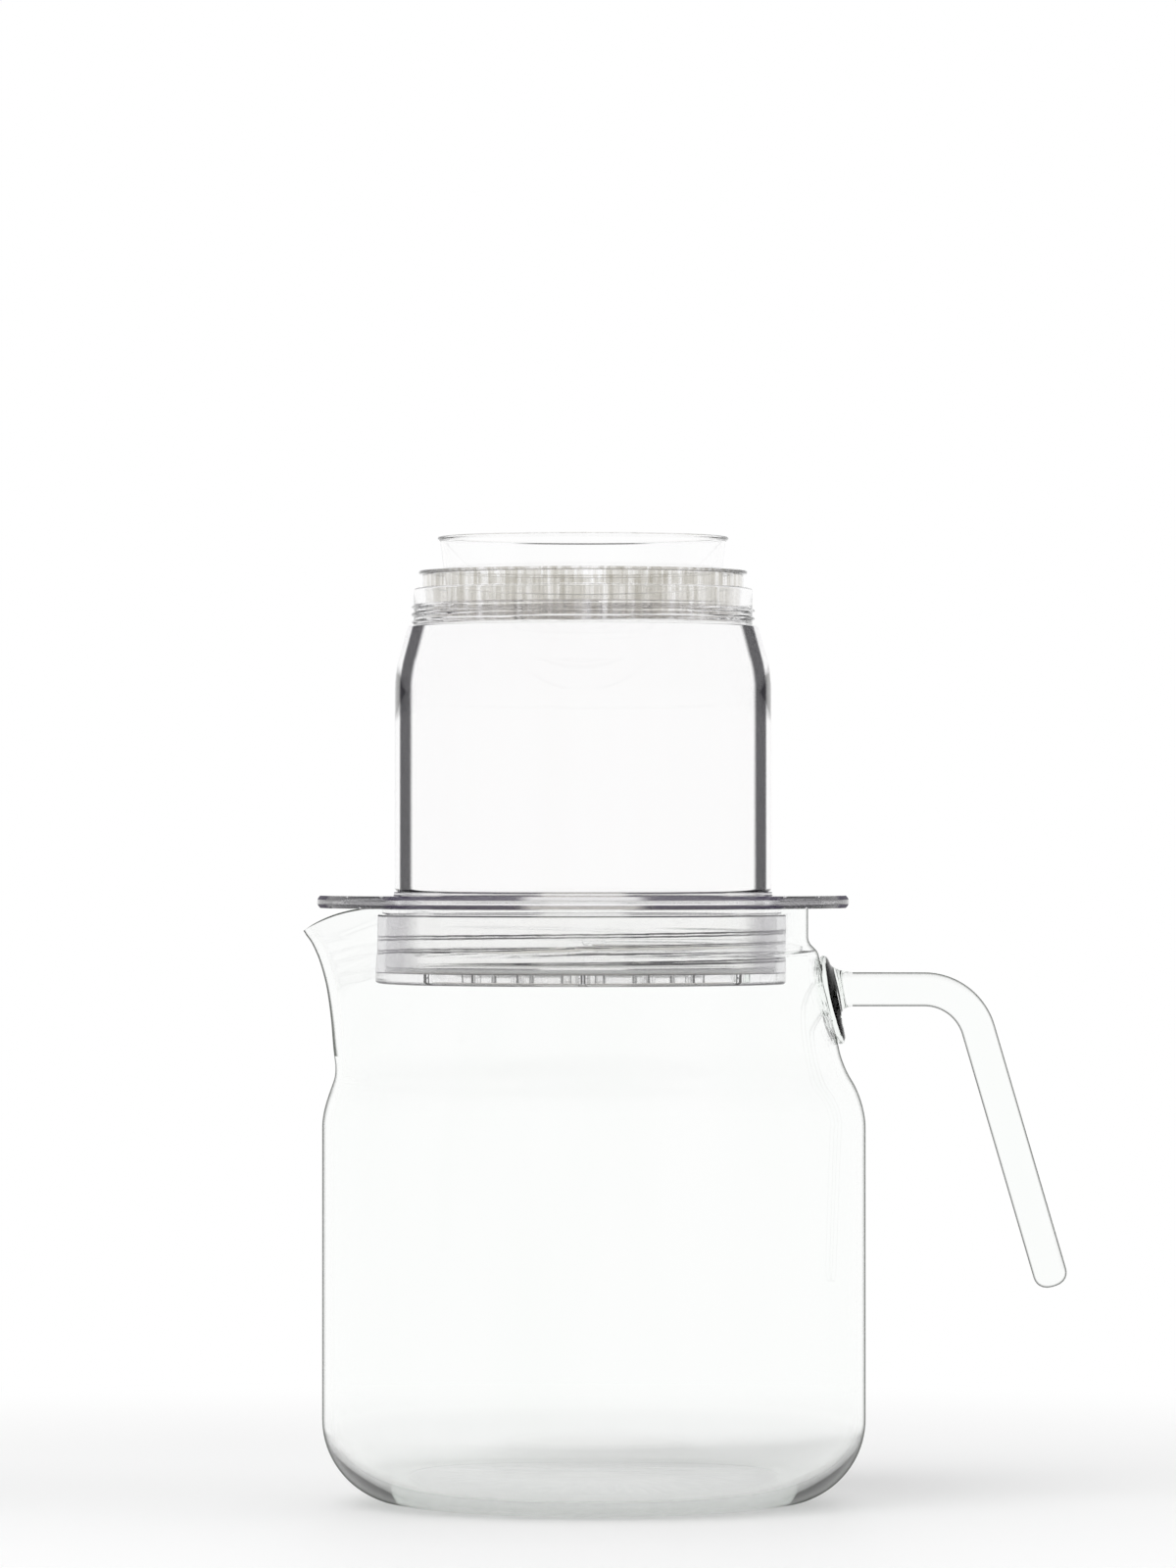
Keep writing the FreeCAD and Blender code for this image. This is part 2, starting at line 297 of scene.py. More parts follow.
plastic = {
    "ior": 1.54, "roughness": 0.0, "waveDetail": 1.0, "streakDetail": 3.0,
    "colourA": (0.99, 0.988, 0.985, 1), "colourB": plainWhite,
    "streakScale": 120.0, "streakStretch": (1, 1, 0.02), "streakEdge": (0.2, 0.8),
    "waveScale": 60.0, "waveStretch": (1, 1, 0.05), "waveHeight": 0.00001,
    "tint": (0.6, 0.57, 0.63, 1), "density": 8.0, "shadowTint": (0.9, 0.9, 0.9, 1),
}
# dark violet of the painted shade on edges and sloping faces
paintedShadeViolet = (0.02, 0.018, 0.025, 1)
# settings of the painted shade stretches round the rings
ringPaintedShade = {"stretches": 6, "gap": (0.0, 0.5), "to": (0.9, 0.97)}
mouldedPlastic = clearMaterial("mouldedPlastic", plastic)
# painted shade: a dark band on the chamber's outer wall where it turns away
chamberPlastic = clearMaterial("chamberPlastic", {**plastic, "edge": {
    "from": (0.565, 0.62), "to": (0.74, 0.8), "faces": "outerWall", "depth": 0.88, "colour": paintedShadeViolet,
}})
# painted shade: dark stretches on the flange's sloping faces, with lighter gaps
flangePlastic = clearMaterial("flangePlastic", {**plastic, "crown": {
    **ringPaintedShade, "gapShare": 0.85, "from": (0.2, 0.4), "depth": 0.85, "colour": (0.06, 0.05, 0.08, 1),
}})
# painted shade: grey on the collar's upright outer faces and dark lines on the thread flanks
collarPlastic = clearMaterial("collarPlastic", {
    **plastic,
    "edge": {
        "from": (0.4, 0.55), "upright": (0.5, 0.8), "outside": True, "depth": 0.3,
        "colour": (0.3, 0.27, 0.33, 1),
    },
    "crown": {**ringPaintedShade, "gapShare": 0.3, "from": (0.08, 0.25), "depth": 0.95, "colour": paintedShadeViolet},
})
# painted shade: dark slot edges and dark stretches on the drain floor's sloping faces
drainPlastic = clearMaterial("drainPlastic", {
    **plastic,
    "edge": {"from": (0.4, 0.62), "upright": (0.5, 0.8), "inside": True, "depth": 1.0, "colour": paintedShadeViolet},
    "crown": {**ringPaintedShade, "gapShare": 0.3, "from": (0.3, 0.5), "depth": 0.7, "colour": paintedShadeViolet},
})
streakedPlastic = clearMaterial("streakedPlastic", {
    **plastic, "colourA": (0.62, 0.6, 0.55, 1), "streakScale": 700.0, "streakEdge": (0.42, 0.6),
})
thinPlastic = clearMaterial("thinPlastic", {
    "ior": 1.49, "roughness": 0.0, "waveDetail": 1.0, "streakDetail": 3.0,
    "colourA": (0.985, 0.985, 0.985, 1), "colourB": plainWhite,
    "streakScale": 80.0, "streakStretch": (1, 1, 0.1), "streakEdge": (0.2, 0.8),
    "waveScale": 60.0, "waveStretch": (1, 1, 0.2), "waveHeight": 0.00001,
    "tint": (0.7, 0.68, 0.72, 1), "density": 5.0, "shadowTint": (0.95, 0.95, 0.95, 1),
})


# Filter paper: fibrous and half see-through

paper = {
    "patchScale": 400.0, "patchDark": (0.9, 0.87, 0.82, 1), "patchLight": (0.96, 0.95, 0.92, 1),
    "fibreScale": 1500.0, "fibreDetail": 4.0, "fibreHeight": 0.00005, "roughness": 0.8,
    "through": (0.93, 0.91, 0.87, 1), "throughShare": 0.5,
}


def paperMaterial(name, s):
    material = bpy.data.materials.new(name)
    b = Board(material)
    fibre = b.bump(b.noise(s["fibreScale"], s["fibreDetail"]), s["fibreHeight"])
    colour = b.blend(b.noise(s["patchScale"]), s["patchDark"], s["patchLight"])
    sockets = {"Base Color": colour, "Roughness": s["roughness"], "Normal": fibre}
    face = b.out(b.add("ShaderNodeBsdfPrincipled", None, sockets))
    back = b.out(b.add("ShaderNodeBsdfTranslucent", None, {"Color": s["through"]}))
    b.add("ShaderNodeOutputMaterial", None, {"Surface": b.mixShader(s["throughShare"], face, back)})
    return material


# Silicone: milky, with a light shadow

silicone = {
    "patchScale": 300.0, "patchDark": (0.8, 0.8, 0.81, 1), "patchLight": (0.9, 0.9, 0.9, 1),
    "grainScale": 700.0, "grainHeight": 0.00002, "roughness": 0.35,
    "transmission": 0.6, "ior": 1.41, "shadowTint": (0.8, 0.8, 0.8, 1),
}


def siliconeMaterial(name, s):
    material = bpy.data.materials.new(name)
    b = Board(material)
    face = b.out(b.add("ShaderNodeBsdfPrincipled", None, {
        "Base Color": b.blend(b.noise(s["patchScale"]), s["patchDark"], s["patchLight"]),
        "Roughness": s["roughness"],
        "Transmission Weight": s["transmission"],
        "IOR": s["ior"],
        "Normal": b.bump(b.noise(s["grainScale"]), s["grainHeight"]),
    }))
    clear = b.out(b.add("ShaderNodeBsdfTransparent", None, {"Color": s["shadowTint"]}))
    surface = b.mixShader(b.lightPath("Is Shadow Ray"), face, clear)
    b.add("ShaderNodeOutputMaterial", None, {"Surface": surface})
    return material


filterPaper = paperMaterial("filterPaper", paper)
milkySilicone = siliconeMaterial("milkySilicone", silicone)
print("materials made")


# Modelling helpers: everything is shaped in millimetres and scaled to metres at the end

# points count as on one radius within near, and become one point within mergeGap
near = 0.01
mergeGap = 0.0005
smoothAngle = math.radians(32)
roundSteps = 224
arcSteps = {"fewest": 3, "small": 10, "large": 24, "largeFrom": 1.0}


def drawOutline(bm, corners, closed=False):
    # (x, z, corner radius) points, with each radius rounded by a vertex bevel
    verts = [bm.verts.new((c[0], 0, c[1])) for c in corners]
    for start, end in zip(verts, verts[1:]):
        bm.edges.new((start, end))
    if closed:
        bm.edges.new((verts[-1], verts[0]))
    count = len(corners)
    for i, (vert, corner) in enumerate(zip(verts, corners)):
        if corner[2] == 0:
            continue
        here = Vector((corner[0], corner[1]))
        before = Vector(corners[i - 1][:2]) - here
        after = Vector(corners[(i + 1) % count][:2]) - here
        half = before.angle(after) / 2
        reach = corner[2] / math.tan(half)
        perQuarter = arcSteps["small"] if corner[2] < arcSteps["largeFrom"] else arcSteps["large"]
        steps = max(arcSteps["fewest"], round((math.pi - 2 * half) / math.radians(90) * perQuarter))
        bmesh.ops.bevel(bm, geom=[vert], offset=reach, offset_type="OFFSET", segments=steps,
                        profile=0.5, affect="VERTICES", material=-1)


def divideEdges(bm, low, high, longest):
    # shorter edges on the part of an outline between two heights
    for edge in bm.edges[:]:
        middle = (edge.verts[0].co.z + edge.verts[1].co.z) / 2
        cuts = math.ceil(edge.calc_length() / longest) - 1
        if low < middle < high and cuts > 0:
            bmesh.ops.subdivide_edges(bm, edges=[edge], cuts=cuts)


def divideWall(bm, radius, step):
    # short edges on the straight wall of an outline that gets a thread
    for edge in bm.edges[:]:
        if all(abs(v.co.x - radius) < near for v in edge.verts):
            bmesh.ops.subdivide_edges(bm, edges=[edge], cuts=int(edge.calc_length() / step))


def spinOutline(bm, centreX=0.0, steps=roundSteps):
    bmesh.ops.translate(bm, vec=(centreX, 0, 0), verts=bm.verts)
    bmesh.ops.spin(bm, geom=bm.verts[:] + bm.edges[:], cent=(centreX, 0, 0), axis=(0, 0, 1),
                   angle=2 * math.pi, steps=steps, use_merge=True)
    bmesh.ops.remove_doubles(bm, verts=bm.verts, dist=mergeGap)
    bmesh.ops.recalc_face_normals(bm, faces=bm.faces)


def finishPiece(bm, name, material, body, slotName, *nodes):
    # the mesh becomes a piece of the object, in metres, riding on its body
    bmesh.ops.scale(bm, vec=(mm, mm, mm), verts=bm.verts)
    for face in bm.faces:
        face.smooth = True
    mesh = bpy.data.meshes.new(name)
    bm.to_mesh(mesh)
    bm.free()
    mesh.set_sharp_from_angle(angle=smoothAngle)
    mesh.materials.append(material)
    piece = bpy.data.objects.new(name, mesh)
    scene.collection.objects.link(piece)
    weighted = piece.modifiers.new("evenShading", "WEIGHTED_NORMAL")
    weighted.keep_sharp = True
    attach(piece, body)
    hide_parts(*nodes)
    print("made", name, len(mesh.polygons), "faces")
    return piece


def easeIn(value, low, high):
    # 0 below low, 1 above high, with soft ends
    t = min(1.0, max(0.0, (value - low) / (high - low)))
    return t * t * (3 - 2 * t)


def markOuter(bm, centreX, low, high, outwards=0.3):
    # marks the faces that look outwards between two heights, which carry the painted dark edge line
    outer = bm.faces.layers.float.new("outerWall")
    for face in bm.faces:
        centre = face.calc_center_median() - Vector((centreX, 0, 0))
        radial = Vector((centre.x, centre.y, 0)).normalized()
        face[outer] = float(low < centre.z < high and face.normal.dot(radial) > outwards)
    return outer


def markFused(bm, isFused):
    # marks the faces that lie where rod and wall are one piece of glass
    joined = bm.faces.layers.float.new("fused")
    for face in bm.faces:
        face[joined] = float(all(isFused(v.co) for v in face.verts))


def threadWave(angle, height, t):
    # 1 on the line of a right-hand thread and 0 beside it
    phase = (height / t["pitch"] - angle / (2 * math.pi)) % 1.0
    away = abs(phase - 0.5) * t["pitch"]
    return 1 - easeIn(away, t["width"] / 2 - t["flank"], t["width"] / 2)


def cutThread(bm, radius, t):
    # moves the wall at one radius in or out along a helix
    for vert in bm.verts:
        x, y, z = vert.co.x - dripperX, vert.co.y, vert.co.z
        here = math.hypot(x, y)
        if abs(here - radius) > near or not t["low"] < z < t["high"]:
            continue
        fade = easeIn(z, t["low"], t["low"] + t["runOut"]) * easeIn(-z, -t["high"], -t["high"] + t["runOut"])
        moved = here + t["rise"] * fade * threadWave(math.atan2(y, x), z, t)
        vert.co.x, vert.co.y = dripperX + x * moved / here, y * moved / here


# Server: blown glass wall with a pulled spout

cone = {"foot": (52.9, 92.7), "top": (47.6, 117.1)}
coneSlope = math.atan2(cone["foot"][0] - cone["top"][0], cone["top"][1] - cone["foot"][1])

server = {
    "bodyRadius": 57.7,
    "bodyTop": 85.3,
    "corner": 18.0,
    "neckRadius": 45.5,
    "neckFrom": 119.2,
    "neckCorner": 2.5,
    "rimHeight": 126.35,
    "rimFrom": 110.0,
    "rimAngle": 1.2,
    "rimRound": 0.82,
    "rimSteps": 5,
    "wall": 1.8,
    "base": 2.6,
    "liftFull": 2.3,
    "liftNone": 20.0,
    "liftBelow": 15.0,
    "liftMargin": 0.3,
    # from one height to another, and the longest edge of the outline between them
    "divisions": [(84, 127, 1.1), (10, 84, 6.0), (-1, 0.1, 4.0)],
    # height, flank radius, flank centre from the axis, reach and tip radius
    "spoutRows": [
        (89.0, 52.6, 0.0, 54.4, 30.0), (96.0, 51.2, 0.0, 55.3, 24.0), (103.0, 49.7, 0.0, 55.9, 19.0),
        (110.0, 48.2, 0.0, 56.9, 15.0), (116.0, 46.9, 1.2, 58.6, 12.0), (120.5, 45.6, 2.8, 61.1, 10.0),
        (128.0, 45.6, 3.2, 66.5, 9.0),
    ],
    "spoutFrom": 86.0,
    "spoutLineFrom": 95.0,
    "spoutPull": 1.5,
    "spoutLine": 1.15,
    "blendWidth": 2.4,
    "blendLeast": 0.02,
    "lipStart": -44.8,
    "lipFall": 31.8,
    "lipFrom": 119.9,
    "lipSteps": 6,
}


def wallRadius(height):
    # outside radius of the drawn-in cone
    return cone["foot"][0] - (height - cone["foot"][1]) * math.tan(coneSlope)


def spoutSection(rows, height):
    # the spout's drop-shaped section at one height, on a smooth line through the rows
    height = min(max(height, rows[0][0]), rows[-1][0])
    i = max(k for k in range(len(rows) - 1) if rows[k][0] <= height)
    t = (height - rows[i][0]) / (rows[i + 1][0] - rows[i][0])
    around = [rows[min(max(k, 0), len(rows) - 1)] for k in (i - 1, i, i + 1, i + 2)]
    values = []
    for p, q, r, s in zip(*[row[1:] for row in around]):
        values.append(q + 0.5 * t * (r - p + t * (2 * p - 5 * q + 4 * r - s + t * (3 * (q - r) + s - p))))
    return values


def spoutDistance(rows, angle, height):
    # from the axis to the spout's wall, where angle 0 points along -X
    flank, draw, reach, tip = spoutSection(rows, height)
    away = reach - tip
    lean = math.acos((flank - tip) / (away - draw))
    tipEdge = math.atan2(tip * math.sin(lean), away + tip * math.cos(lean))
    flankEdge = math.atan2(flank * math.sin(lean), draw + flank * math.cos(lean))
    if angle < tipEdge:
        return away * math.cos(angle) + math.sqrt(tip ** 2 - (away * math.sin(angle)) ** 2)
    if angle < flankEdge:
        return (flank + draw * math.cos(lean)) / math.cos(angle - lean)
    return draw * math.cos(angle) + math.sqrt(flank ** 2 - (draw * math.sin(angle)) ** 2)


def pulledRadius(s, radius, angle, height):
    # the larger of wall and spout, with a soft valley between them
    spout = spoutDistance(s["spoutRows"], angle, height)
    width = s["blendWidth"] * max(s["blendLeast"], math.cos(angle)) ** 2
    gap = max(0.0, width - abs(radius - spout))
    return max(radius, spout) + gap * gap / (4 * width)


def lipHeight(s, x):
    # the rim falls along an arc towards the tip of the spout
    if x > s["lipStart"]:
        return s["rimHeight"]
    drop = s["lipFall"] - math.sqrt(s["lipFall"] ** 2 - (x - s["lipStart"]) ** 2)
    return s["rimHeight"] - drop


def pullSpout(bm, s):
    for vert in bm.verts:
        x, y, z = vert.co
        radius = math.hypot(x, y)
        if z < s["spoutFrom"] or x > 0:
            continue
        angle = abs(math.atan2(y, -x))
        if z > s["lipFrom"]:
            top = s["rimHeight"]
            for _ in range(s["lipSteps"]):
                top = lipHeight(s, -pulledRadius(s, s["neckRadius"], angle, top) * math.cos(angle))
            z = s["lipFrom"] + (z - s["lipFrom"]) * (top - s["lipFrom"]) / (s["rimHeight"] - s["lipFrom"])
        pulled = pulledRadius(s, radius, angle, z)
        vert.co = (x * pulled / radius, y * pulled / radius, z)


def insideBase(co, s):
    # whether a point is on the inner face of the rounded base
    radius = math.hypot(co.x, co.y)
    cornerFrom = s["bodyRadius"] - s["corner"]
    if radius < cornerFrom:
        return co.z > s["wall"] * 0.5
    return math.hypot(radius - cornerFrom, co.z - s["corner"]) < s["corner"] - s["wall"] * 0.5


def thickenBase(bm, s):
    # lifts the inner face of the base, and less and less of the rounded corner above it
    for vert in bm.verts:
        z = vert.co.z
        share = easeIn(-z, -s["liftNone"], -s["liftFull"]) * easeIn(z, s["wall"] * 0.5, s["wall"])
        within = math.hypot(vert.co.x, vert.co.y) < s["bodyRadius"] - s["wall"] - s["liftMargin"]
        if within and z < s["liftBelow"] and insideBase(vert.co, s):
            vert.co.z += (s["base"] - s["wall"]) * share


def markSpout(bm, outer, s):
    # the painted dark edge line is a little stronger on the spout
    for face in bm.faces:
        centre = face.calc_center_median()
        pulled = math.hypot(centre.x, centre.y) - max(s["neckRadius"], wallRadius(centre.z))
        if centre.x < 0 and centre.z > s["spoutLineFrom"] and pulled > s["spoutPull"]:
            face[outer] *= s["spoutLine"]


def makeServer(s):
    bm = bmesh.new()
    drawOutline(bm, [
        (0.0, 0.0, 0), (s["bodyRadius"], 0.0, s["corner"]), (s["bodyRadius"], s["bodyTop"], s["corner"]),
        (*cone["foot"], s["corner"]), (*cone["top"], s["neckCorner"]),
        (s["neckRadius"], s["neckFrom"], s["neckCorner"]), (s["neckRadius"], s["rimHeight"], 0),
    ])
    for low, high, longest in s["divisions"]:
        divideEdges(bm, low, high, longest)
    spinOutline(bm)
    pullSpout(bm, s)
    bmesh.ops.recalc_face_normals(bm, faces=bm.faces)
    if max(bm.faces, key=lambda f: f.calc_center_median().x).normal.x < 0:
        bmesh.ops.reverse_faces(bm, faces=bm.faces)
    bmesh.ops.solidify(bm, geom=bm.faces[:], thickness=s["wall"])
    bmesh.ops.recalc_face_normals(bm, faces=bm.faces)
    rim = [e for e in bm.edges if e.calc_face_angle(0) > s["rimAngle"] and e.verts[0].co.z > s["rimFrom"]]
    bmesh.ops.bevel(bm, geom=rim, offset=s["rimRound"], offset_type="OFFSET", segments=s["rimSteps"],
                    profile=0.5, affect="EDGES", clamp_overlap=True, material=-1)
    thickenBase(bm, s)
    markSpout(bm, markOuter(bm, 0.0, 0.0, math.inf), s)
    markFused(bm, lambda co: underFoot(handle, co))
    finishPiece(bm, "serverGlass", blownGlass, "server", "server_glass", "server_glass")


# Handle: one glass rod with a pressed foot

handle = {
    "rod": 3.6,
    "height": 109.1,
    "cornerX": 79.2,
    "bend": 12.0,
    "bendSteps": 36,
    "end": (97.7, 46.0),
    "sides": 72,
    "footCentre": 2.0,
    "footRadius": 9.6,
    "footHeight": 106.7,
    "footMargin": 0.2,
    "wallGap": 0.03,
    "wallInside": 0.3,
    "wallOutside": 0.08,
    # the painted dark edge line is full along the rod and faint on the foot
    "rodFrom": 55.0,
    "footLine": 0.55,
    # radius, stand from the wall, and share of the way from the foot's centre and tilt to the rod's
    "footRings": [
        (4.5, 0.0, 0), (8.6, 0.0, 0), (9.25, 0.12, 0), (9.55, 0.45, 0), (9.6, 0.85, 0), (9.45, 1.3, 0),
        (9.0, 1.65, 0), (8.3, 1.86, 0), (7.4, 1.93, 0.05), (6.4, 2.0, 0.25), (5.5, 2.3, 0.5),
        (4.7, 2.8, 0.75), (4.1, 3.6, 0.9), (3.75, 4.6, 0.97), (3.62, 5.6, 1.0),
    ],
    # radius and place along the rounded end
    "endRings": [(3.6, 0.0), (3.52, 0.75), (3.3, 1.4), (2.9, 2.0), (2.3, 2.5), (1.5, 2.85), (0.7, 2.98)],
}


def underFoot(s, co):
    # whether a point of the wall's outer face lies under the pressed foot
    if co.x < 0 or math.hypot(co.x, co.y) < wallRadius(co.z) - s["wallInside"]:
        return False
    fromCentre = math.hypot(co.y, (co.z - s["footHeight"]) / math.cos(coneSlope))
    return fromCentre < s["footRadius"] - s["footMargin"]


def fusedToWall(s, co):
    return underFoot(s, co) and math.hypot(co.x, co.y) < wallRadius(co.z) + s["wallOutside"]


def ringVerts(ring):
    return {v for e in ring for v in e.verts}


def growRing(bm, ring):
    # extrudes a ring of edges in place and returns the new ring
    made = bmesh.ops.extrude_edge_only(bm, edges=ring)["geom"]
    return [g for g in made if isinstance(g, bmesh.types.BMEdge) and all(v in made for v in g.verts)]


def shapeRing(ring, turns, centre, normal, radius):
    # sets a ring's points on a circle, keeping each at its own angle
    normal = Vector(normal).normalized()
    side = Vector((0, 1, 0))
    up = normal.cross(side).normalized()
    for vert in ringVerts(ring):
        angle = vert[turns]
        vert.co = Vector(centre) + (side * math.sin(angle) + up * -math.cos(angle)) * radius


def bendOntoWall(verts, gap):
    # the flat back of the foot follows the round cone of the wall
    for vert in verts:
        flat = wallRadius(vert.co.z)
        curve = math.sqrt(max(0.0, flat ** 2 - vert.co.y ** 2)) - flat
        vert.co.x += curve + gap


def makeHandle(s):
    bm = bmesh.new()
    turns = bm.verts.layers.float.new("turn")
    first = bmesh.ops.create_circle(bm, cap_ends=True, radius=s["footCentre"], segments=s["sides"])["verts"]
    for vert in first:
        vert[turns] = math.atan2(vert.co.y, -vert.co.x)
    ring = bm.edges[:]
    tilt = Vector((math.cos(coneSlope), 0, math.sin(coneSlope)))
    footBase = Vector((wallRadius(s["footHeight"]), 0, s["footHeight"]))
    rodStart = Vector((wallRadius(s["height"]), 0, s["height"]))
    shapeRing(ring, turns, footBase, tilt, s["footCentre"])
    onWall = ringVerts(ring)
    for radius, stand, share in s["footRings"]:
        ring = growRing(bm, ring)
        normal = tilt.lerp(Vector((1, 0, 0)), share)
        centre = (footBase + tilt * stand).lerp(rodStart + Vector((stand, 0, 0)), share)
        shapeRing(ring, turns, centre, normal, radius)
        if share == 0:
            onWall.update(ringVerts(ring))
    bendOntoWall(onWall, s["wallGap"])
    turn = math.atan2(s["height"] - s["end"][1], s["end"][0] - s["cornerX"])
    bendStart = s["cornerX"] - s["bend"] * math.tan(turn / 2)
    ring = growRing(bm, ring)
    shapeRing(ring, turns, (bendStart, 0, s["height"]), (1, 0, 0), s["rod"])
    bendCentre = (bendStart, 0, s["height"] - s["bend"])
    swept = bmesh.ops.spin(bm, geom=list(ringVerts(ring)) + ring, cent=bendCentre, axis=(0, 1, 0),
                           angle=turn, steps=s["bendSteps"])
    ring = [g for g in swept["geom_last"] if isinstance(g, bmesh.types.BMEdge)]
    along = Vector((math.cos(turn), 0, -math.sin(turn)))
    tip = Vector((s["end"][0], 0, s["end"][1]))
    length = s["endRings"][-1][1]
    for radius, stand in s["endRings"]:
        ring = growRing(bm, ring)
        shapeRing(ring, turns, tip + along * (stand - length), along, radius)
    bmesh.ops.contextual_create(bm, geom=ring)
    bmesh.ops.remove_doubles(bm, verts=bm.verts, dist=mergeGap)
    bmesh.ops.recalc_face_normals(bm, faces=bm.faces)
    outer = bm.faces.layers.float.new("outerWall")
    for face in bm.faces:
        face[outer] = 1.0 if face.calc_center_median().x > s["rodFrom"] else s["footLine"]
    markFused(bm, lambda co: fusedToWall(s, co))
    finishPiece(bm, "serverHandle", rodGlass, "server", "server_glass", "server_handle")


# Flange ring: flat plate with a crowned edge, land and threaded skirt

# a negative rise moves the wall towards the axis
thread = {
    "pitch": 3.0, "low": 114.4, "high": 122.0, "rise": -0.22, "width": 0.9, "flank": 0.3,
    "runOut": 0.8, "step": 0.1,
}

flange = {
    "skirt": 41.0,
    "outline": [
        (38.9, 113.6, 0.3), (41.0, 113.6, 0.4), (41.0, 125.2, 0), (42.2, 125.2, 0.3), (42.2, 126.4, 0.25),
        (55.85, 126.4, 0.15), (56.98, 127.725, 1.5), (55.85, 129.05, 0.15), (40.2, 129.05, 0.2),
        (40.2, 129.8, 0.3), (38.9, 129.8, 0.2),
    ],
}


def makeFlange(s):
    bm = bmesh.new()
    drawOutline(bm, s["outline"], True)
    divideWall(bm, s["skirt"], thread["step"])
    spinOutline(bm, dripperX)
    cutThread(bm, s["skirt"], thread)
    finishPiece(bm, "flangeRing", flangePlastic, "flange", "clear_plastic", "flange_ring")


# Brew chamber: thick wall, drawn-in shoulder and threaded neck

chamber = {
    "outline": [
        (37.0, 113.6, 0.3), (38.6, 113.6, 0.3), (38.6, 129.8, 0), (40.0, 129.8, 0.8), (40.0, 176.5, 25.0),
        (37.3, 186.2, 0.25), (36.0, 186.2, 0.2), (36.0, 194.3, 0.5), (33.9, 194.3, 0.4), (33.9, 183.6, 0),
        (37.0, 171.2, 42.0),
    ],
    "foot": 129.8,
    "shoulderTop": 186.2,
    "neck": 36.0,
    "neckThread": {
        "pitch": 1.7, "low": 186.4, "high": 191.0, "rise": 0.5, "width": 1.1, "flank": 0.4,
        "runOut": 0.8, "step": 0.2,
    },
}


def makeChamber(s):
    bm = bmesh.new()
    drawOutline(bm, s["outline"], True)
    divideWall(bm, s["neck"], s["neckThread"]["step"])
    spinOutline(bm, dripperX)
    cutThread(bm, s["neck"], s["neckThread"])
    markOuter(bm, dripperX, s["foot"], s["shoulderTop"])
    finishPiece(bm, "brewChamber", chamberPlastic, "chamber", "clear_plastic", "brew_chamber")


# Screw collar with the matching thread inside

collar = {
    "bore": 41.3,
    "outline": [(41.3, 112.52, 0.2), (43.1, 112.52, 0), (43.1, 125.0, 0.4), (41.3, 125.0, 0.3)],
}


def makeCollar(s):
    bm = bmesh.new()
    drawOutline(bm, s["outline"], True)
    divideWall(bm, s["bore"], thread["step"])
    spinOutline(bm, dripperX)
    cutThread(bm, s["bore"], thread)
    finishPiece(bm, "screwCollar", collarPlastic, "collar", "clear_plastic", "screw_collar")


# Drain floor: round-edged disc opened into ring slots, with circular ribs and spokes

drain = {
    "top": 112.5,
    "bottom": 110.1,
    "radius": 43.1,
    "corner": 0.9,
    "cornerSteps": 10,
    "hole": 3.2,
    "slots": [(5.2, 13.6), (15.6, 23.65), (25.65, 32.6)],
    "spokes": 6,
    "spokeWidth": 1.6,
    "spokeSteps": 2,
    "sectorSteps": 32,
    "sharpAngle": 1.0,
    "edgeRound": 0.25,
    "edgeSteps": 2,
}


def openSlots(bm, s, sector):
    # deletes the faces of the ring slots between the spokes
    spokeHalf = s["spokeSteps"] * sector / s["sectorSteps"]
    inSlot = []
    for face in bm.faces:
        centre = face.calc_center_median()
        radius = math.hypot(centre.x, centre.y)
        angle = math.atan2(centre.y, centre.x) % sector - sector / 2
        if any(start < radius < end for start, end in s["slots"]) and abs(angle) > spokeHalf:
            inSlot.append(face)
    bmesh.ops.delete(bm, geom=inSlot, context="FACES")


def evenSpokes(bm, s, sector):
    # turns the points about the axis, so that each spoke has one width from end to end
    half = s["sectorSteps"] / 2
    for vert in bm.verts:
        radius = math.hypot(vert.co.x, vert.co.y)
        if radius > s["slots"][-1][1] + near:
            continue
        turn = math.atan2(vert.co.y, vert.co.x)
        middle = (math.floor(turn / sector) + 0.5) * sector
        offset = turn - middle
        index = round(abs(offset) / sector * s["sectorSteps"])
        edge = math.asin(s["spokeWidth"] / 2 / radius)
        if index <= s["spokeSteps"]:
            moved = edge * index / s["spokeSteps"]
        else:
            moved = edge + (sector / 2 - edge) * (index - s["spokeSteps"]) / (half - s["spokeSteps"])
        moved = math.copysign(moved, offset) + middle
        vert.co.x, vert.co.y = radius * math.cos(moved), radius * math.sin(moved)


